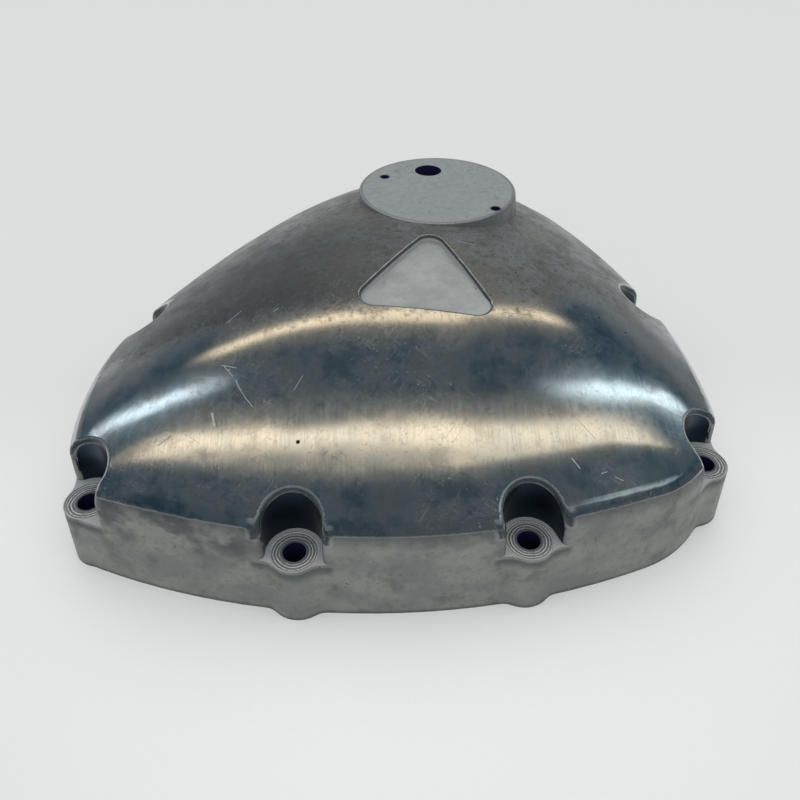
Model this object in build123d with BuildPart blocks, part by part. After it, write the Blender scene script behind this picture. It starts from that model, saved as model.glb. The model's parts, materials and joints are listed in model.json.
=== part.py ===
# Alternator cover: one aluminium casting with a domed top, nine bolt bosses and an open, hollow underside.
# Millimetres, +Z up. The origin is the middle of the mating face, which lies on Z = 0.
# The bosses lie nearly, but not quite, symmetric about the Y axis, and the dome's crest leans away from it.

import os
from math import radians, tan

from build123d import *

# Mating outline: three large arcs whose corners are rounded
front_radius = 228.9
front_centre = (1.0, 136.5)
left_radius = 131.2
left_centre = (28.2, -34.8)
right_radius = 192.4
right_centre = (-90.3, -36.9)
left_corner_radius = 12.0
right_corner_radius = 44.0
back_corner_radius = 86.0

# Walls of the casting
side_wall = 5.5
outer_draft = 5.5
inner_draft = 2.0
roof_wall = 5.0
shoulder_radius = 7.0

# Dome: crest line over the stations, front to back, and its fall at each side of a section
crest_lean = 7.9
crest_foot_x = 11.3
station_y = (-99.5, -63.5, -21.5, 18.5, 58.5, 99.0)
crest_height = (27.8, 43.5, 59.9, 64.5, 62.0, 34.0)
left_fall = (6.0, 14.2, 27.4, 36.0, 34.0, 20.0)
right_fall = (2.0, 21.3, 41.4, 56.0, 58.0, 40.0)
section_half_width = (112.0, 110.0, 112.0, 108.0, 88.0, 66.0)
# Halfway out, a section has fallen by this share of its fall at the side
left_halfway_fall = 0.2
right_halfway_fall = 0.25

# Bolt bosses, from the front left corner round to the left. Each row has its bearing, how far its bolt
# hole is from the outline, how far its pocket turns from the normal there, and the pocket's radius
bosses = (
    (-159.58, 6.33, 51.9, 9.2),
    (-102.22, 5.93, 9.0, 8.0),
    (-77.79, 6.39, 9.0, 8.0),
    (-29.0, 4.43, -40.0, 9.2),
    (9.81, 8.49, 0.0, 8.0),
    (49.64, 5.56, 0.0, 8.0),
    (90.97, 6.04, 0.0, 8.0),
    (131.65, 8.19, 0.0, 8.0),
    (164.9, 7.88, 0.0, 8.0),
)
# Bearings are taken from the origin to points this far out
sighting_distance = 300.0
boss_radius = 9.0
boss_height = 20.0
boss_blend_radius = 6.0
bolt_hole_radius = 3.3
pocket_rim_radius = 1.8
pocket_wall = 2.6
spot_face_radius = 6.8
spot_face_depth = 0.4

# Round pad for a badge
pad_centre = (18.6, 47.1)
pad_height = 65.0
pad_radius = 29.4
pad_draft = 8.0
pad_foot_height = 42.0
pad_edge_radius = 1.0
badge_hole_spacing = 48.8
badge_hole_angle = -37.8
badge_hole_centre = (18.5, 43.4)
badge_hole_radius = 1.65
badge_hole_depth = 8.0
badge_boss_radius = 4.6
badge_boss_floor = 2.5
port_centre = (16.6, 63.4)
port_radius = 5.2

# Triangular recess in front of the pad
recess_base = (8.0, -24.4)
recess_side = 47.0
recess_corner_radius = 4.5
recess_rim_radius = 1.0
recess_height = 57.4
recess_tilt = 7.1
recess_roll = 1.0

# Stator seat under the dome
stator_centre = (4.0, -12.0)
stator_circle_radius = 24.0
stator_post_radius = 7.0
stator_post_end = 30.0
stator_screw_radius = 2.5
stator_screw_depth = 16.0
stator_ring_wall = 4.0
stator_ring_end = 40.0
stator_post_count = 3

# Ribs under the dome, from the stator seat towards the wall
rib_thickness = 3.5
rib_end = 44.0
rib_angles = (30.0, 150.0, 210.0, 330.0)

# Cuts run this far past the surface that they open
cut_overrun = 20.0
# Points closer than this are one point
join_tolerance = 0.01


def outline_edge(inset):
    """The mating outline without its bosses, drawn inwards by inset."""
    with BuildSketch() as outline:
        with Locations(front_centre):
            Circle(front_radius - inset)
        with Locations(left_centre):
            Circle(left_radius - inset, mode=Mode.INTERSECT)
        with Locations(right_centre):
            Circle(right_radius - inset, mode=Mode.INTERSECT)
        fillet(outline.vertices().sort_by(Axis.Y)[-1], back_corner_radius - inset)
        fillet(outline.vertices().sort_by(Axis.X)[0], left_corner_radius - inset)
        fillet(outline.vertices().sort_by(Axis.X)[-1], right_corner_radius - inset)
    return outline.sketch


def crest_x(y):
    """Where the dome's crest runs, as a line that leans to the right towards the back."""
    return crest_foot_x + y * tan(radians(crest_lean))


def crown_block(lowering):
    """A block under the dome's surface, lofted through its sections and lowered by lowering."""
    with BuildPart() as block:
        for y, height, left, right, half_width in zip(
            station_y, crest_height, left_fall, right_fall, section_half_width
        ):
            middle = crest_x(y)
            top = height - lowering
            with BuildSketch(Plane.XZ.offset(-y)):
                with BuildLine():
                    Spline(
                        (middle - half_width, top - left),
                        (middle - half_width / 2, top - left_halfway_fall * left),
                        (middle, top),
                        (middle + half_width / 2, top - right_halfway_fall * right),
                        (middle + half_width, top - right),
                    )
                    Polyline(
                        (middle + half_width, top - right),
                        (middle + half_width, -pad_height),
                        (middle - half_width, -pad_height),
                        (middle - half_width, top - left),
                    )
                make_face()
        loft()
    return block.part


def boss_frames():
    """One frame at each boss's bolt hole, its X axis along the outline's normal."""
    rim = outline_edge(0).wires()[0]
    frames = []
    for bearing, inset, _, _ in bosses:
        sight = Vector(sighting_distance, 0).rotate(Axis.Z, bearing)
        nearest = rim.distance_to_with_closest_points(sight)[1]
        outward = (sight - nearest).normalized()
        frames.append(Plane(origin=nearest - outward * inset, x_dir=outward, z_dir=(0, 0, 1)))
    return frames


def boss_plan(frames, inset):
    """The mating outline with its bosses blended in, drawn inwards by inset."""
    with BuildSketch() as plan:
        add(outline_edge(inset))
        for frame in frames:
            with Locations(frame.location):
                Circle(boss_radius - inset)
        joins = [
            corner
            for corner in plan.vertices()
            for frame in frames
            if abs((Vector(corner) - frame.origin).length - boss_radius + inset) < join_tolerance
        ]
        fillet(joins, boss_blend_radius + inset)
    return plan.sketch


def drafted(bottom, top, height):
    """A solid from the sketch bottom to the sketch top, which lies height above it."""
    return Solid.make_loft([bottom.wire(), top.wire().moved(Location((0, 0, height)))], ruled=True)


def raised_edges(edges):
    """Those edges that rise above the seats of the bosses."""
    return [edge for edge in edges if edge.bounding_box().max.Z > boss_height + join_tolerance]


frames = boss_frames()

# The space inside: the inset outline without the boss columns, under a lowered dome
with BuildPart() as inside:
    lean = pad_height * tan(radians(inner_draft))
    add(drafted(outline_edge(side_wall), outline_edge(side_wall + lean), pad_height))
    add(crown_block(roof_wall), mode=Mode.INTERSECT)
    with BuildSketch():
        for frame, (_, _, _, radius) in zip(frames, bosses):
            with Locations(frame.location):
                Circle(radius + pocket_wall)
    extrude(amount=pad_height, mode=Mode.SUBTRACT)
    # Posts for the stator's screws, and the ring that joins them
    with BuildSketch(Plane.XY.offset(stator_post_end)):
        with Locations(stator_centre):
            with PolarLocations(stator_circle_radius, stator_post_count, start_angle=90):
                Circle(stator_post_radius)
    extrude(amount=pad_height, mode=Mode.SUBTRACT)
    with BuildSketch(Plane.XY.offset(stator_ring_end)):
        with Locations(stator_centre):
            Circle(stator_circle_radius + stator_ring_wall / 2)
            Circle(stator_circle_radius - stator_ring_wall / 2, mode=Mode.SUBTRACT)
    extrude(amount=pad_height, mode=Mode.SUBTRACT)
    with BuildSketch(Plane.XY.offset(rib_end)):
        with Locations(*[Location((*stator_centre, 0), angle) for angle in rib_angles]):
            with Locations((stator_circle_radius, 0)):
                Rectangle(right_radius, rib_thickness, align=(Align.MIN, Align.CENTER))
    extrude(amount=pad_height, mode=Mode.SUBTRACT)
    # Bosses round the badge's screw holes
    badge_boss_end = pad_height - badge_hole_depth - badge_boss_floor
    with BuildSketch(Plane.XY.offset(badge_boss_end)):
        with Locations(Location((*badge_hole_centre, 0), badge_hole_angle)):
            with GridLocations(badge_hole_spacing, 1, 2, 1):
                Circle(badge_boss_radius)
    extrude(amount=pad_height, mode=Mode.SUBTRACT)

with BuildPart() as cover:
    # Dome and upper side wall
    with BuildSketch():
        add(outline_edge(0))
    extrude(amount=pad_height + cut_overrun, taper=outer_draft)
    add(crown_block(0), mode=Mode.INTERSECT)
    fillet(cover.faces().sort_by(Axis.Z)[-1].edges(), shoulder_radius)
    # Pockets over the bosses, open through the side wall, and their rounded rims
    with BuildSketch(Plane.XY.offset(boss_height)):
        for frame, (_, _, turn, radius) in zip(frames, bosses):
            with Locations(frame.location * Location((0, 0, 0), turn)):
                Circle(radius)
                Rectangle(cut_overrun, 2 * radius, align=(Align.MIN, Align.CENTER))
    extrude(amount=pad_height, mode=Mode.SUBTRACT)
    fillet(raised_edges(cover.edges(Select.NEW)), pocket_rim_radius)
    # Bosses, blended into the lower side wall
    split(bisect_by=Plane.XY.offset(boss_height), keep=Keep.TOP)
    lean = boss_height * tan(radians(outer_draft))
    add(drafted(boss_plan(frames, 0), boss_plan(frames, lean), boss_height))
    # Round pad
    with BuildSketch(Plane.XY.offset(pad_height)):
        with Locations(pad_centre):
            Circle(pad_radius)
    extrude(amount=pad_foot_height - pad_height, taper=-pad_draft)
    fillet(cover.faces().sort_by(Axis.Z)[-1].edges(), pad_edge_radius)
    # Triangular recess, its floor parallel to the dome's crest
    recess_plane = Plane(
        origin=(*recess_base, recess_height),
        x_dir=Vector(1, 0, 0).rotate(Axis.Z, -crest_lean),
        z_dir=(0, 0, 1),
    ).rotated((recess_tilt, recess_roll, 0))
    with BuildSketch(recess_plane) as recess:
        Triangle(a=recess_side, b=recess_side, c=recess_side, align=(Align.CENTER, Align.MIN))
        fillet(recess.vertices(), recess_corner_radius)
    extrude(amount=cut_overrun, mode=Mode.SUBTRACT)
    fillet(cover.edges(Select.NEW), recess_rim_radius)
    # The hollow underside
    add(inside.part, mode=Mode.SUBTRACT)
    # Bolt holes with their machined seats
    holes = [frame.location for frame in frames]
    with BuildSketch(Plane.XY.offset(boss_height - spot_face_depth)):
        with Locations(*holes):
            Circle(spot_face_radius)
    extrude(amount=cut_overrun / 2, mode=Mode.SUBTRACT)
    with BuildSketch():
        with Locations(*holes):
            Circle(bolt_hole_radius)
    extrude(amount=boss_height, mode=Mode.SUBTRACT)
    # Badge screw holes, the port in the pad and the stator's screw holes
    with BuildSketch(Plane.XY.offset(pad_height)):
        with Locations(Location((*badge_hole_centre, 0), badge_hole_angle)):
            with GridLocations(badge_hole_spacing, 1, 2, 1):
                Circle(badge_hole_radius)
    extrude(amount=-badge_hole_depth, mode=Mode.SUBTRACT)
    with BuildSketch(Plane.XY.offset(pad_height)):
        with Locations(port_centre):
            Circle(port_radius)
    extrude(amount=-cut_overrun, mode=Mode.SUBTRACT)
    with BuildSketch(Plane.XY.offset(stator_post_end)):
        with Locations(stator_centre):
            with PolarLocations(stator_circle_radius, stator_post_count, start_angle=90):
                Circle(stator_screw_radius)
    extrude(amount=stator_screw_depth, mode=Mode.SUBTRACT)

cover.part.label = "cover"

os.makedirs("parts", exist_ok=True)
export_step(cover.part, "parts/cover.step")
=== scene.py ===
# Looks for the alternator cover: a worn bare aluminium casting, buffed in front, on a pale floor.
# Objects are in metres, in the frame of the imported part. Inside the casting's material, places and
# sizes are in millimetres.

import json
from math import cos, radians, sin
from types import SimpleNamespace

import bpy
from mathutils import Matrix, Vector

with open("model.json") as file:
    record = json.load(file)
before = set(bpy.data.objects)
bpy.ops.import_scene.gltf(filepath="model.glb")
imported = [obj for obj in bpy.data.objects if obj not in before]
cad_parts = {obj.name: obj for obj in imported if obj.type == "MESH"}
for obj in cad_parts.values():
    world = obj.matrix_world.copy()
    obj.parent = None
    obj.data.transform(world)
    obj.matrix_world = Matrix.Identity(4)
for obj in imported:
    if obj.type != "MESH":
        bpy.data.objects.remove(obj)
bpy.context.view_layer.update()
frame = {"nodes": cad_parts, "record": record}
mounts = {mount["name"]: mount for mount in frame["record"]["mounts"]}
mm_per_metre = 1000.0


def colour(red, green, blue):
    return (red, green, blue, 1.0)


def mount_place(name):
    """A mount's place in millimetres."""
    return tuple(mm_per_metre * value for value in mounts[name]["pos_m"])


def hole_pair(name, turn):
    """The places of a mount's two holes. The line through them is turned from X by so many degrees."""
    x, y, _ = mount_place(name)
    reach = mounts[name]["dims"]["pcd_mm"] / 2.0
    run = reach * cos(radians(turn))
    rise = reach * sin(radians(turn))
    return (x - run, y - rise), (x + run, y + rise)


# Camera: where the photograph was taken from. Angles are in degrees, lens and sensor in millimetres
camera_place = (-0.0098, -0.2012, 0.1756)
camera_pitch = 41.0
camera_yaw = 3.3
camera_lens = 31.05
sensor_width = 36.0

# Bolt bosses and their turned seats. A pocket's wall lies within pocket_reach of its bolt, and the seat's
# turning rings follow the sine of ring_rate times the distance from the bolt
boss_places = (
    *hole_pair("front_bolts", 0.26),
    *hole_pair("corner_bolts", 1.44),
    *hole_pair("middle_bolts", -0.81),
    *hole_pair("rear_bolts", 4.8),
    mount_place("apex_bolt")[:2],
)
bolt_hole_radius = mounts["front_bolts"]["dims"]["hole_r_mm"]
seat_height = mount_place("front_bolts")[2]
seat_radius = 6.8
ring_rate = 7.0
ring_unevenness = 9.0
boss_height = 20.0
pocket_reach = 17.0

# Round pad and triangular recess
pad_centre = (18.6, 47.1)
pad_radius = 29.4
pad_height = mount_place("badge_screws")[2]
pad_screw_places = hole_pair("badge_screws", -37.8)
pad_hole_floor = 54.0
recess_centre = (9.86, -11.06, 59.03)
recess_tilt = radians(7.1)
recess_roll = radians(1.0)
recess_normal = Vector((sin(recess_roll), -sin(recess_tilt), cos(recess_tilt))).normalized()
recess_reach = 28.0
recess_foot = 53.0

# Front strip where the solid is straighter than the real dome. There the shading normal is turned to the
# front: fully below the first of roll_heights and in front of the first of roll_depths, and not at all
# past the second
roll_amount = 0.10
roll_heights = (34.6, 39.3)
roll_depths = (-69.0, -62.0)

# The buffed front ends at an uneven edge across the dome, over these depths. The mottle pushes the edge
# about, and on the right it moves back by edge_shift, over the stretch edge_turn
worn_depths = (-30.0, -17.0)
dull_depths = (-30.0, 0.0)
edge_unevenness = 16.0
edge_turn = (35.0, 65.0)
edge_shift = 12.0

# Scratches on the dome, and a small dent drawn as a painted highlight beside a painted shade. Each runs
# from one point to another, with its half width
light_scratches = (
    ((-53.3, -21.0), (-49.0, -16.8), 0.16),
    ((-38.4, -20.5), (-37.2, -19.5), 0.20),
    ((-53.1, -38.1), (-48.5, -40.1), 0.12),
    ((-52.4, -38.5), (-49.4, -42.7), 0.12),
    ((-48.4, -44.2), (-47.3, -46.7), 0.16),
    ((-47.3, -46.7), (-45.1, -50.4), 0.13),
    ((-45.1, -50.4), (-42.9, -53.3), 0.12),
    ((-31.3, -49.8), (-28.8, -45.6), 0.10),
    # Painted highlight: the lit side of a small dent
    ((-54.6, -53.3), (-53.6, -57.3), 0.35),
    ((-41.1, -29.0), (-39.7, -31.2), 0.14),
    ((45.8, -69.8), (47.6, -72.3), 0.22),
    ((53.6, -73.5), (55.4, -72.9), 0.14),
    ((57.5, -74.2), (59.6, -75.2), 0.14),
    ((21.8, 8.4), (27.8, 7.0), 0.14),
)
dark_scratches = (
    # Painted shade: the shaded side of the same dent
    ((-53.9, -52.6), (-52.9, -57.6), 0.18),
    ((-70.4, -55.1), (-68.6, -53.0), 0.14),
    ((-69.4, -60.2), (-65.9, -58.0), 0.14),
    ((-58.9, -74.5), (-50.5, -78.8), 0.14),
    ((-50.5, -78.8), (-47.2, -81.7), 0.20),
    ((49.4, -58.7), (53.7, -63.9), 0.08),
    ((32.3, -25.3), (43.1, -25.1), 0.10),
    ((35.1, -25.6), (32.9, -27.9), 0.09),
)
scratch_strength = 0.6

# Relief, in metres: the brushing of the buffed front and the grain of the cast surfaces
brushing_depth = 0.000001
grain_depth = 0.00005

# Pits, each with its middle and radius
pits = (
    ((-30.0, -64.2), 0.62),
    ((39.4, -5.8), 0.45),
    ((64.9, -19.9), 0.50),
    ((73.4, -23.4), 0.45),
)

# Patterns on the casting, as noise: its scale for each millimetre, and how it is stretched along the axes
patterns = {
    "brushing": {"scale": 1.0, "detail": 2.0, "roughness": 0.6, "stretch": (2.2, 0.10, 0.10)},
    "tarnish": {"scale": 0.035, "detail": 3.0, "roughness": 0.6},
    "stains": {"scale": 0.11, "detail": 4.0, "roughness": 0.65},
    "mottle": {"scale": 0.45, "detail": 3.0, "roughness": 0.7},
    "grit": {"scale": 1.6, "detail": 2.0, "roughness": 0.6},
    "streaks": {"scale": 1.0, "detail": 3.0, "roughness": 0.6, "stretch": (0.07, 0.07, 0.10)},
    "specks": {"scale": 0.9, "detail": 0.0, "roughness": 0.5},
}

# Two sets of hair-thin scratches: their noise, turned about Z by degrees, and its values where they show
hair_sets = (
    ({"scale": 1.0, "detail": 0.0, "stretch": (4.0, 0.13, 0.13), "turn": 38.0}, (0.70, 0.78)),
    ({"scale": 1.0, "detail": 0.0, "stretch": (4.4, 0.16, 0.16), "turn": -52.0}, (0.71, 0.79)),
)

# Finishes, some with layers of painted shade and painted highlight. Each is a ground tone with layers over
# it.
# A layer has its pattern, the pattern's values between which it changes, its strength at either of them,
# and its tone
full = (0.0, 1.0)
polished_finish = (
    colour(0.50, 0.535, 0.56),
    ("tarnish", (0.36, 0.64), full, colour(0.61, 0.62, 0.62)),
    ("stains", (0.50, 0.64), (0.0, 0.55), colour(0.40, 0.385, 0.36)),
    ("mottle", (0.56, 0.66), (0.0, 0.35), colour(0.30, 0.31, 0.31)),
)
worn_finish = (
    colour(0.33, 0.35, 0.35),
    ("stains", (0.38, 0.62), full, colour(0.25, 0.255, 0.25)),
    ("mottle", (0.50, 0.66), (0.0, 0.6), colour(0.13, 0.115, 0.095)),
    ("tarnish", (0.50, 0.62), (0.0, 0.5), colour(0.30, 0.285, 0.25)),
    ("grit", (0.50, 0.62), (0.0, 0.35), colour(0.10, 0.095, 0.085)),
)
wall_finish = (
    colour(0.235, 0.245, 0.225),
    ("streaks", (0.35, 0.65), full, colour(0.175, 0.188, 0.182)),
    ("mottle", (0.50, 0.68), (0.0, 0.45), colour(0.13, 0.138, 0.128)),
    ("stains", (0.54, 0.66), (0.0, 0.6), colour(0.13, 0.135, 0.13)),
    # Painted shade: the wall darker towards its top, under the rounded shoulder
    ("height", (25.0, 32.0), (0.0, 0.6), colour(0.11, 0.12, 0.125)),
)
pad_finish = (
    colour(0.29, 0.315, 0.315),
    ("mottle", (0.3, 0.7), full, colour(0.34, 0.365, 0.365)),
    ("stains", (0.60, 0.72), (0.0, 0.6), colour(0.17, 0.18, 0.18)),
)
recess_finish = (
    colour(0.44, 0.465, 0.46),
    ("stains", (0.35, 0.65), full, colour(0.35, 0.365, 0.36)),
)
seat_finish = (
    colour(0.17, 0.185, 0.20),
    ("turning_rings", (0.0, 1.0), full, colour(0.80, 0.82, 0.83)),
    ("grit", (0.48, 0.62), (0.0, 0.6), colour(0.25, 0.27, 0.28)),
    # Painted shade: a dark ring round the bolt hole's edge
    ("boss_distance", (3.9, 4.3), (0.8, 0.0), colour(0.10, 0.115, 0.14)),
    # Painted highlight: a bright ring at the seat's outer edge
    ("boss_distance", (6.2, 6.5), (0.0, 0.7), colour(0.75, 0.77, 0.77)),
)
inside_finish = (
    colour(0.34, 0.35, 0.35),
    ("stains", (0.3, 0.7), full, colour(0.42, 0.43, 0.425)),
)

# Lamps, as mirrored in the dome. A direction is told by its x / z, called across, and its y / z, called
# along. Each lamp follows a curve through pairs of across and along, comes up over the range start and
# goes down over the range stop
lamps = (
    # Low at the right: the faint light above the wall
    SimpleNamespace(
        line=((0.3, -0.42), (0.6, -0.50), (0.85, -0.46), (1.2, -0.45), (1.6, -0.60)),
        half_width=0.08, softness=0.22, start=(0.45, 0.85), stop=(1.2, 1.6),
        tone=colour(0.45, 0.56, 0.57),
    ),
    # Front: the long band across the dome
    SimpleNamespace(
        line=(
            (-0.95, 0.345), (-0.6, 0.105), (-0.35, -0.045), (-0.15, -0.125), (0.05, -0.155),
            (0.25, -0.14), (0.42, -0.09), (0.55, -0.035), (0.7, 0.055), (0.85, 0.135), (1.3, 0.42),
        ),
        half_width=0.008, softness=0.042, start=(-0.95, -0.60), stop=(0.85, 1.25),
        tone=colour(1.95, 1.66, 1.22),
    ),
    # Rear: the thin band by the recess
    SimpleNamespace(
        line=(
            (-1.1, 0.975), (-0.83, 0.805), (-0.65, 0.705), (-0.4, 0.6), (-0.15, 0.515), (0.05, 0.455),
            (0.24, 0.45), (0.35, 0.5), (0.52, 0.6), (0.68, 0.7), (0.85, 0.78), (1.14, 0.93),
        ),
        half_width=0.015, softness=0.055, start=(-1.0, -0.60), stop=(0.75, 1.05),
        tone=colour(1.8, 1.45, 1.0),
    ),
    # The blue light at the left end
    SimpleNamespace(
        line=((-1.5, 0.94), (-1.3, 0.82), (-1.0, 0.605), (-0.7, 0.43), (-0.58, 0.36), (-0.34, 0.23)),
        half_width=0.012, softness=0.055, start=(-1.45, -1.2), stop=(-0.90, -0.45),
        tone=colour(1.9, 2.25, 2.4),
    ),
    # The blue light at the right end
    SimpleNamespace(
        line=((0.45, 0.08), (0.72, 0.21), (0.95, 0.355), (1.2, 0.515), (1.45, 0.665), (1.96, 1.015)),
        half_width=0.012, softness=0.048, start=(0.45, 0.95), stop=(1.7, 2.0),
        tone=colour(1.9, 2.25, 2.35),
    ),
)
lamp_core = 0.9
lamp_haze = 0.1
haze_spread = 4.5
least_rise = 0.05

# What the room gives to all that isn't a mirror image, and how far the floor reaches
pale_room = colour(1.08, 1.085, 1.09)
floor_half_size = 3.0


class Graph:
    """Short calls for building a node tree."""

    def __init__(self, tree):
        self.tree = tree
        tree.nodes.clear()

    def node(self, kind, inputs=(), **settings):
        made = self.tree.nodes.new("ShaderNode" + kind)
        for name, value in settings.items():
            setattr(made, name, value)
        for name, value in dict(inputs).items():
            self.put(made.inputs[name], value)
        return made

    def put(self, socket, value):
        if isinstance(value, bpy.types.NodeSocket):
            self.tree.links.new(value, socket)
        elif value is not None:
            socket.default_value = value

    def math(self, operation, first, second=None, third=None, clamp=False):
        made = self.node("Math", operation=operation, use_clamp=clamp)
        for socket, value in zip(made.inputs, (first, second, third)):
            self.put(socket, value)
        return made.outputs[0]

    def chain(self, operation, values):
        """One value from several, by one operation after another."""
        result = values[0]
        for value in values[1:]:
            result = self.math(operation, result, value)
        return result

    def both(self, *masks):
        """The product of some masks."""
        return self.chain("MULTIPLY", masks)

    def either(self, *masks):
        """The largest of some masks."""
        return self.chain("MAXIMUM", masks)

    def outside(self, mask):
        return self.math("SUBTRACT", 1.0, mask)

    def above(self, value, limit):
        return self.math("GREATER_THAN", value, limit)

    def below(self, value, limit):
        return self.math("LESS_THAN", value, limit)

    def near(self, value, target, tolerance):
        return self.math("COMPARE", value, target, tolerance)

    def vector(self, operation, first, second=None):
        made = self.node("VectorMath", operation=operation)
        self.put(made.inputs[0], first)
        self.put(made.inputs["Scale" if operation == "SCALE" else 1], second)
        return made.outputs["Value" if operation in ("DOT_PRODUCT", "DISTANCE", "LENGTH") else "Vector"]

    def step(self, value, low, high, start=0.0, end=1.0):
        """Goes smoothly from start to end as value goes from low to high."""
        made = self.node("MapRange", {"Value": value}, interpolation_type="SMOOTHSTEP")
        for name, number in (("From Min", low), ("From Max", high), ("To Min", start), ("To Max", end)):
            self.put(made.inputs[name], number)
        return made.outputs["Result"]

    def fall(self, value, low, high):
        """Falls smoothly from 1 to 0 as value goes from low to high."""
        return self.step(value, low, high, 1.0, 0.0)

    def band(self, value, rise, fall):
        """Rises from 0 to 1 over one range of value and falls back over another."""
        return self.both(self.step(value, *rise), self.fall(value, *fall))

    def ramp(self, value, low, high):
        """Rises evenly from 0 to 1 as value goes from low to high."""
        return self.node("MapRange", {"Value": value, "From Min": low, "From Max": high}).outputs["Result"]

    def mix(self, amount, first, second):
        """A colour between first and second."""
        made = self.node("Mix", {"Factor": amount}, data_type="RGBA")
        colours = [socket for socket in made.inputs if socket.type == "RGBA"]
        self.put(colours[0], first)
        self.put(colours[1], second)
        return [socket for socket in made.outputs if socket.type == "RGBA"][0]

    def blend(self, amount, first, second):
        """A number between first and second."""
        made = self.node("Mix", data_type="FLOAT")
        numbers = [socket for socket in made.inputs if socket.type == "VALUE"]
        for socket, value in zip(numbers, (amount, first, second)):
            self.put(socket, value)
        return [socket for socket in made.outputs if socket.type == "VALUE"][0]

    def lay(self, under, coats, join):
        """Lays coats, each a mask and what it shows, over what is under them. join is mix or blend."""
        for mask, over in coats:
            under = join(mask, under, over)
        return under

    def finish(self, at, layers):
        """The colour of a finish from the tables above, with the patterns as they are at a point."""
        ground, *rest = layers
        for pattern, between, strength, tone in rest:
            ground = self.mix(self.step(getattr(at, pattern), *between, *strength), ground, tone)
        return ground

    def noise(self, place, scale, detail=2.0, roughness=0.5, stretch=None, turn=None):
        if turn:
            turned = {"Vector": place, "Angle": radians(turn)}
            place = self.node("VectorRotate", turned, rotation_type="Z_AXIS").outputs[0]
        if stretch:
            place = self.vector("MULTIPLY", place, stretch)
        settings = {"Vector": place, "Scale": scale, "Detail": detail, "Roughness": roughness}
        return self.node("TexNoise", settings).outputs["Fac"]

    def curve(self, value, pairs):
        """A smooth curve through pairs of value and result."""
        low = pairs[0][0]
        high = pairs[-1][0]
        results = [result for _, result in pairs]
        base = min(results)
        span = max(results) - base
        made = self.node("FloatCurve", {"Value": self.ramp(value, low, high)})
        points = made.mapping.curves[0].points
        while len(points) < len(pairs):
            points.new(0.5, 0.5)
        for point, (x, result) in zip(points, pairs):
            point.location = ((x - low) / (high - low), (result - base) / span)
        made.mapping.update()
        return self.math("MULTIPLY_ADD", made.outputs[0], span, base)

    def scratch(self, flat, start, end, half_width):
        """A mask on the line from start to end, seen from above."""
        run = Vector((*end, 0.0)) - Vector((*start, 0.0))
        offset = self.vector("SUBTRACT", flat, (*start, 0.0))
        along = self.vector("DOT_PRODUCT", offset, run)
        share = self.math("MULTIPLY", along, 1.0 / run.length_squared, clamp=True)
        nearest = self.vector("SCALE", run, share)
        return self.fall(self.vector("DISTANCE", offset, nearest), half_width * 0.3, half_width)


def surface_fields(graph):
    """What the casting's material knows of a point: its place, how it faces and the patterns there."""
    coordinates = graph.node("TexCoord")
    place = graph.vector("SCALE", coordinates.outputs["Object"], mm_per_metre)
    normal = coordinates.outputs["Normal"]
    axes = graph.node("SeparateXYZ", {"Vector": place}).outputs
    flat = graph.vector("MULTIPLY", place, (1.0, 1.0, 0.0))
    boss_distances = [graph.vector("DISTANCE", flat, (*middle, 0.0)) for middle in boss_places]
    boss_distance = graph.chain("MINIMUM", boss_distances)
    roll_by_height = graph.step(axes["Z"], *roll_heights, roll_amount, 0.0)
    roll = graph.both(roll_by_height, graph.fall(axes["Y"], *roll_depths))
    down_front = graph.vector("SCALE", graph.node("CombineXYZ", {"Y": -1.0}).outputs[0], roll)
    at = SimpleNamespace(
        place=place,
        flat=flat,
        across=axes["X"],
        depth=axes["Y"],
        height=axes["Z"],
        normal=normal,
        rolled_normal=graph.vector("NORMALIZE", graph.vector("ADD", normal, down_front)),
        facing_up=graph.node("SeparateXYZ", {"Vector": normal}).outputs["Z"],
        boss_distance=boss_distance,
        pad_distance=graph.vector("DISTANCE", flat, (*pad_centre, 0.0)),
    )
    for name, settings in patterns.items():
        setattr(at, name, graph.noise(place, **settings))
    hairs = [graph.step(graph.noise(place, **noise), *shown) for noise, shown in hair_sets]
    at.hairs = graph.either(*hairs)
    turning = graph.math("MULTIPLY", boss_distance, ring_rate)
    uneven_turning = graph.math("MULTIPLY_ADD", at.stains, ring_unevenness, turning)
    at.turning_rings = graph.math("SINE", uneven_turning)
    return at


def recess_zones(graph, at):
    """Masks for the recess's floor, the painted shade on its side, and the painted highlight on the lip
    above that.
    """
    from_recess = graph.vector("SUBTRACT", at.place, recess_centre)
    recess_distance = graph.vector("LENGTH", from_recess)
    off_floor = graph.math("ABSOLUTE", graph.vector("DOT_PRODUCT", from_recess, recess_normal))
    floor = graph.both(
        graph.below(off_floor, 0.10),
        graph.above(graph.vector("DOT_PRODUCT", at.normal, recess_normal), 0.9995),
        graph.below(recess_distance, recess_reach),
    )
    near_recess = graph.both(
        graph.below(recess_distance, recess_reach + 2.0),
        graph.above(at.height, recess_foot),
    )
    side = graph.both(near_recess, graph.fall(at.facing_up, 0.74, 0.88))
    lip = graph.both(near_recess, graph.band(at.facing_up, (0.84, 0.90), (0.90, 0.945)))
    return floor, side, lip


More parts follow.
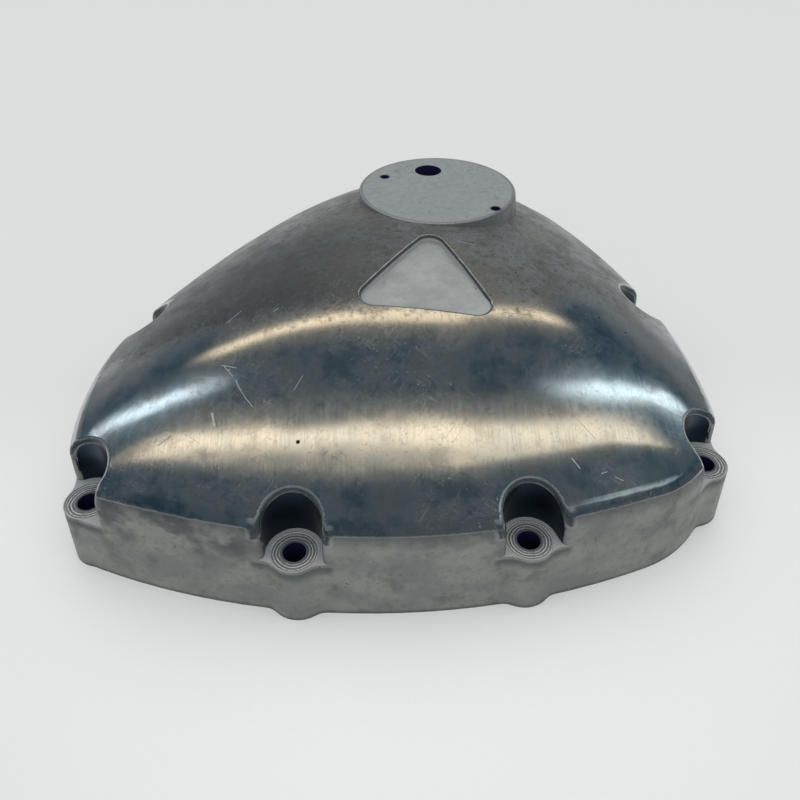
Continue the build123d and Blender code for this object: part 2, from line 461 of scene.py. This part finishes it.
def surface_zones(graph, at):
    """Masks, from 0 to 1, for the zones of the casting. Their limits stand a little off the faces between
    them. at.facing_up is 1 on a level surface, 0 on an upright one and less than 0 on the underside."""
    zone = SimpleNamespace()
    upright = graph.below(graph.math("ABSOLUTE", at.facing_up), 0.03)
    near_boss = graph.below(at.boss_distance, pocket_reach)
    zone.pocket = graph.both(upright, graph.above(at.height, boss_height - 0.05), near_boss)
    zone.seat = graph.both(
        graph.below(at.boss_distance, seat_radius - 0.01),
        graph.near(at.height, seat_height, 0.15),
    )
    zone.shelf = graph.both(
        near_boss,
        graph.near(at.height, boss_height, 0.05),
        graph.above(at.facing_up, 0.9),
    )
    zone.pad = graph.both(
        graph.below(at.pad_distance, pad_radius + 0.1),
        graph.above(at.height, pad_height - 0.2),
    )
    zone.recess, zone.recess_side, zone.recess_lip = recess_zones(graph, at)

    bolt_holes = graph.both(
        graph.below(at.boss_distance, bolt_hole_radius + 0.06),
        graph.below(at.height, seat_height - 0.1),
    )
    pad_holes = graph.both(
        upright,
        graph.below(at.pad_distance, pad_radius - 0.4),
        graph.above(at.height, pad_hole_floor),
    )
    zone.holes = graph.either(bolt_holes, pad_holes)

    pocket_rim = graph.both(
        graph.fall(at.boss_distance, 10.4, 12.5),
        graph.step(at.height, 20.3, 21.5),
        graph.step(at.facing_up, 0.12, 0.20),
    )
    # Painted shade on the lower part of each pocket's rim, and a painted highlight in a soft arc higher on
    # it
    zone.low_rim = graph.both(pocket_rim, graph.fall(at.facing_up, 0.45, 0.68))
    zone.high_rim = graph.both(pocket_rim, graph.band(at.facing_up, (0.66, 0.76), (0.83, 0.87)))
    by_pocket = graph.either(pocket_rim, zone.pocket)
    zone.wall = graph.both(graph.fall(at.facing_up, 0.52, 0.62), graph.outside(by_pocket))
    # Painted shade: the wall darker just under the lip round each pocket
    zone.under_lip = graph.both(
        zone.wall,
        graph.fall(at.boss_distance, 11.0, 12.8),
        graph.band(at.height, (15.0, 18.5), (18.6, 19.4)),
    )
    zone.inside = graph.below(at.facing_up, -0.02)

    edge = graph.math("MULTIPLY_ADD", graph.math("SUBTRACT", at.mottle, 0.5), edge_unevenness, at.depth)
    edge = graph.math("SUBTRACT", edge, graph.step(at.across, *edge_turn, 0.0, edge_shift))
    zone.worn = graph.both(graph.step(edge, *worn_depths), graph.outside(zone.wall))
    zone.dull = graph.both(graph.step(edge, *dull_depths), graph.outside(zone.wall))
    return zone


def surface_colour(graph, at, zone):
    """The casting's colour without its scratches, pits and painted dent, zone over zone, with painted
    shade and painted highlights among the zones.
    """
    # Painted shade: the worn dome darker and bluer towards the left, in front of the pad
    shaded = graph.both(graph.step(at.across, -40.0, 20.0, 0.7, 0.0), graph.fall(at.depth, 5.0, 45.0))
    worn = graph.mix(shaded, graph.finish(at, worn_finish), colour(0.10, 0.11, 0.115))
    smudge = graph.both(
        graph.step(at.streaks, 0.42, 0.56),
        graph.step(at.across, -50.0, -38.0, 0.85, 0.10),
        graph.step(at.height, 14.0, 26.0),
    )
    wall = graph.mix(smudge, graph.finish(at, wall_finish), colour(0.075, 0.08, 0.085))
    # Painted shade: a thin dark ring just inside the pad's rounded edge
    from_pad_ring = graph.math("ABSOLUTE", graph.math("SUBTRACT", at.pad_distance, pad_radius - 0.9))
    pad_ring = graph.step(from_pad_ring, 0.2, 0.6, 0.6, 0.0)
    # Painted shade: dark rings round the pad's screw holes
    pad_screws = [
        graph.step(graph.vector("DISTANCE", at.flat, (*middle, 0.0)), 1.6, 2.5, 0.85, 0.0)
        for middle in pad_screw_places
    ]
    coats = (
        (zone.worn, worn),
        (zone.wall, wall),
        (zone.pad, graph.finish(at, pad_finish)),
        (graph.both(zone.pad, pad_ring), colour(0.16, 0.17, 0.17)),
        *[(graph.both(zone.pad, sunk), colour(0.05, 0.055, 0.07)) for sunk in pad_screws],
        # Painted highlight on the recess's lip, and painted shade on its side
        (zone.recess_lip, colour(0.80, 0.81, 0.80)),
        (zone.recess_side, colour(0.10, 0.11, 0.12)),
        # Painted shade and painted highlight on the pocket rims
        (zone.low_rim, colour(0.07, 0.08, 0.09)),
        (zone.high_rim, colour(0.62, 0.64, 0.65)),
        (zone.recess, graph.finish(at, recess_finish)),
        (zone.shelf, colour(0.42, 0.44, 0.45)),
        # Painted shade under the pockets' lips
        (graph.both(zone.under_lip, 0.75), colour(0.06, 0.07, 0.075)),
        # Painted shade: the casting darker along its foot, where it meets the floor
        (graph.step(at.height, 0.4, 1.6, 0.6, 0.0), colour(0.05, 0.055, 0.055)),
        (zone.seat, graph.finish(at, seat_finish)),
        # Painted shade: the pocket walls dark navy
        (zone.pocket, graph.mix(at.grit, colour(0.020, 0.034, 0.052), colour(0.032, 0.050, 0.072))),
        (zone.inside, graph.finish(at, inside_finish)),
        # Painted shade: the holes dark navy inside
        (zone.holes, colour(0.020, 0.019, 0.090)),
    )
    return graph.lay(graph.finish(at, polished_finish), coats, graph.mix)


def surface_marks(graph, at, zone):
    """Masks for the light marks and the dark ones."""
    plain = graph.outside(graph.either(zone.pad, zone.recess, zone.wall, zone.pocket, zone.inside))
    light_lines = graph.either(*[graph.scratch(at.flat, *mark) for mark in light_scratches])
    fine_hairs = graph.both(at.hairs, graph.step(at.tarnish, 0.42, 0.60, 0.0, 0.15))
    fine_grit = graph.both(graph.step(at.grit, 0.66, 0.72), graph.step(at.tarnish, 0.40, 0.60, 0.15, 0.45))
    light_marks = graph.either(graph.both(light_lines, scratch_strength), fine_hairs, fine_grit)

    dark_lines = graph.either(*[graph.scratch(at.flat, *mark) for mark in dark_scratches])
    pit_marks = [
        graph.fall(graph.vector("DISTANCE", at.flat, (*middle, 0.0)), radius * 0.6, radius)
        for middle, radius in pits
    ]
    dark_marks = graph.either(graph.both(dark_lines, scratch_strength), *pit_marks)
    speckled = graph.either(zone.worn, zone.wall, zone.pad)
    specks = graph.both(graph.step(at.specks, 0.14, 0.20, 0.6, 0.0), speckled)
    return graph.both(plain, light_marks), graph.either(graph.both(plain, dark_marks), specks)


def casting_material():
    """Bare aluminium: buffed and brushed in front, worn behind, as cast on the walls and inside."""
    material = bpy.data.materials.new("worn_cast_aluminium")
    material.use_nodes = True
    graph = Graph(material.node_tree)
    at = surface_fields(graph)
    zone = surface_zones(graph, at)
    light, dark = surface_marks(graph, at, zone)
    marked = ((light, colour(0.72, 0.76, 0.79)), (dark, colour(0.035, 0.035, 0.04)))
    base = graph.lay(surface_colour(graph, at, zone), marked, graph.mix)

    matt = graph.either(zone.pad, zone.recess, zone.inside, zone.shelf)
    rougher = (
        (zone.dull, graph.step(at.stains, 0.3, 0.7, 0.34, 0.46)),
        (zone.wall, graph.step(at.stains, 0.3, 0.7, 0.42, 0.60)),
        (matt, 0.58),
        (zone.seat, 0.35),
        (zone.pocket, 0.30),
        (graph.either(zone.low_rim, zone.high_rim), 0.38),
        (graph.either(light, dark), 0.45),
    )
    roughness = graph.lay(graph.step(at.brushing, 0.2, 0.8, 0.08, 0.13), rougher, graph.blend)
    duller = ((zone.worn, 0.75), (zone.wall, 0.55), (matt, 0.30), (graph.either(zone.seat, light), 0.5))
    metallic = graph.lay(graph.step(at.stains, 0.35, 0.65, 1.0, 0.93), duller, graph.blend)

    # Relief: fine brushing on the buffed front, cast grain elsewhere
    faint = graph.both(graph.either(zone.worn, zone.pad, zone.recess), 0.25)
    cast = graph.either(faint, zone.wall, zone.inside, zone.shelf)
    not_brushed = graph.either(zone.worn, zone.wall, zone.pad, zone.recess, zone.pocket, zone.inside)
    normal = at.rolled_normal
    for pattern, bump_depth, strength in (
        (at.brushing, brushing_depth, graph.outside(not_brushed)),
        (at.grit, grain_depth, cast),
    ):
        settings = {"Height": pattern, "Distance": bump_depth, "Strength": strength, "Normal": normal}
        normal = graph.node("Bump", settings).outputs["Normal"]

    surface = graph.node(
        "BsdfPrincipled",
        {"Base Color": base, "Roughness": roughness, "Metallic": metallic, "Normal": normal},
    )
    graph.node("OutputMaterial", {"Surface": surface.outputs[0]})
    return material


def floor_material():
    """A matt pale floor, with painted light round the part and painted shade towards the back, and a
    little cloudy.
    """
    material = bpy.data.materials.new("pale_floor")
    material.use_nodes = True
    graph = Graph(material.node_tree)
    place = graph.node("TexCoord").outputs["Object"]
    depth = graph.node("SeparateXYZ", {"Vector": place}).outputs["Y"]
    cloud = graph.noise(place, 5.0, 3.0, 0.5)
    grain = graph.noise(place, 900.0, 2.0, 0.5)
    from_part = graph.vector("DISTANCE", place, (0.0, 0.0, 0.0))
    lit = graph.both(graph.fall(from_part, 0.07, 0.20), graph.step(depth, -0.05, 0.03, 1.0, 0.25))
    # Painted shade on the floor towards the back, and painted light round the part, most in front of it
    coats = (
        (graph.step(depth, -0.30, 0.0), colour(0.685, 0.69, 0.69)),
        (lit, colour(0.93, 0.93, 0.925)),
        (graph.step(cloud, 0.3, 0.7, 0.0, 0.15), colour(0.70, 0.705, 0.705)),
        (graph.step(grain, 0.4, 0.9, 0.0, 0.08), colour(0.62, 0.62, 0.61)),
    )
    base = graph.lay(colour(0.76, 0.76, 0.755), coats, graph.mix)
    surface = graph.node(
        "BsdfPrincipled",
        {"Base Color": base, "Roughness": 0.7, "Specular IOR Level": 0.2},
    )
    graph.node("OutputMaterial", {"Surface": surface.outputs[0]})
    return material


def add_floor():
    half = floor_half_size
    mesh = bpy.data.meshes.new("floor")
    corners = [(-half, -half, 0.0), (half, -half, 0.0), (half, half, 0.0), (-half, half, 0.0)]
    mesh.from_pydata(corners, [], [(0, 1, 2, 3)])
    mesh.materials.append(floor_material())
    floor = bpy.data.objects.new("floor", mesh)
    bpy.context.scene.collection.objects.link(floor)


def lamp_mask(graph, across, along, lamp):
    """Where a lamp shows among the mirrored directions: a bright core with haze round it."""
    off = graph.math("ABSOLUTE", graph.math("SUBTRACT", along, graph.curve(across, lamp.line)))
    core = graph.step(off, lamp.half_width, lamp.half_width + lamp.softness, lamp_core, 0.0)
    haze = graph.step(off, 0.0, lamp.softness * haze_spread, lamp_haze, 0.0)
    return graph.both(graph.math("ADD", core, haze), graph.band(across, lamp.start, lamp.stop))


def light_world():
    """A room that is even and pale for what it lights, and dark with long lamps where it is mirrored."""
    world = bpy.data.worlds.new("studio")
    bpy.context.scene.world = world
    world.use_nodes = True
    graph = Graph(world.node_tree)
    direction = graph.node("SeparateXYZ", {"Vector": graph.node("TexCoord").outputs["Generated"]}).outputs
    rise = graph.math("MAXIMUM", direction["Z"], least_rise)
    across = graph.math("DIVIDE", direction["X"], rise)
    along = graph.math("DIVIDE", direction["Y"], rise)
    sideways = graph.math("ABSOLUTE", across)
    coats = (
        (graph.step(sideways, 0.6, 1.3), colour(0.008, 0.048, 0.082)),
        (graph.step(sideways, 1.7, 3.0), colour(0.075, 0.095, 0.11)),
        (graph.step(along, -0.50, -0.22, 0.6, 0.0), colour(0.018, 0.040, 0.058)),
        (graph.step(along, 0.7, 2.5), colour(0.20, 0.215, 0.22)),
        (graph.step(along, 3.0, 9.0), colour(0.45, 0.46, 0.46)),
        *[(lamp_mask(graph, across, along, lamp), lamp.tone) for lamp in lamps],
    )
    mirrored = graph.lay(colour(0.050, 0.078, 0.098), coats, graph.mix)
    glossy_ray = graph.node("LightPath").outputs["Is Glossy Ray"]
    seen = graph.mix(glossy_ray, pale_room, mirrored)
    background = graph.node("Background", {"Color": seen, "Strength": 1.0})
    graph.node("OutputWorld", {"Surface": background.outputs[0]})


def add_camera():
    data = bpy.data.cameras.new("camera")
    data.lens = camera_lens
    data.sensor_width = sensor_width
    camera = bpy.data.objects.new("camera", data)
    camera.location = camera_place
    camera.rotation_euler = (radians(90.0 - camera_pitch), 0.0, radians(-camera_yaw))
    bpy.context.scene.collection.objects.link(camera)
    bpy.context.scene.camera = camera


cover = frame["nodes"]["cover"]
cover.data.materials.clear()
cover.data.materials.append(casting_material())
add_floor()
light_world()
add_camera()
bpy.context.scene.view_settings.view_transform = "Standard"
